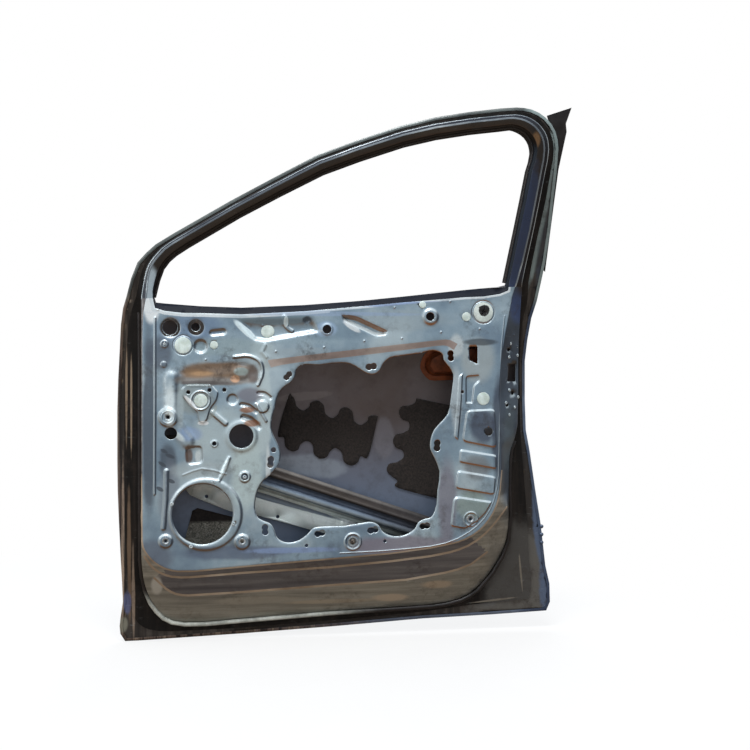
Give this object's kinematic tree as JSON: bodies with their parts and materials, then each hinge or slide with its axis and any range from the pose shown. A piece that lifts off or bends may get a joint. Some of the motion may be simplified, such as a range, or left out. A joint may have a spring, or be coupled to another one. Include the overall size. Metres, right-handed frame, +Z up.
{
  "type": "car door shell",
  "caption": "Right front car door shell: pressed inner panel, hemmed outer skin, window frame, side beam, reinforcements, seals and blanking plugs.",
  "frame": {"origin": "on the hinge face of the inner panel, between the upper hinge's bolt holes", "axes": "+X to the rear of the car, +Y out of the car, +Z up; the car's inside is on the -Y side"},
  "size_m": [1.0672, 0.2017, 1.2634],
  "materials": {
    "painted_steel": "silver blue-grey paint, satin, scuffed",
    "primed_steel": "dark primer, semi-matt",
    "plated_steel": "yellow-grey plating",
    "bronze_paint": "dark bronze primer",
    "black_rubber": "matt black rubber",
    "black_plastic": "satin black plastic",
    "white_plastic": "off-white plastic",
    "felt": "dark damping felt"
  },
  "bodies": {
    "root": {"beam_bracket_front": "primed_steel", "beam_bracket_rear": "primed_steel", "belt_rail_inner": "primed_steel", "belt_rail_outer": "primed_steel", "check_strap_plate": "plated_steel", "damping_pad_front": "felt", "damping_pad_lower": "felt", "damping_pad_rear": "felt", "door_seal": "black_rubber", "frame_seal": "black_rubber", "glass_run_channel": "black_rubber", "handle_bracket": "bronze_paint", "hinge_plate_lower": "plated_steel", "hinge_plate_upper": "plated_steel", "hinge_reinforcement": "painted_steel", "impact_beam": "primed_steel", "inner_panel": "painted_steel", "insert_front": "plated_steel", "insert_front_lower": "plated_steel", "insert_rear_lower": "plated_steel", "insert_sill": "plated_steel", "insert_speaker": "plated_steel", "latch_reinforcement": "painted_steel", "mirror_reinforcement": "painted_steel", "outer_skin": "painted_steel", "pillar_cover": "black_plastic", "plug_belt": "white_plastic", "plug_front_large": "white_plastic", "plug_front_small": "white_plastic", "plug_handle_pad": "white_plastic", "plug_latch": "white_plastic", "plug_rear_small": "white_plastic", "plug_rear_torn": "white_plastic", "plug_recess": "white_plastic", "trim_clip": "black_plastic"}
  },
  "joints": []
}
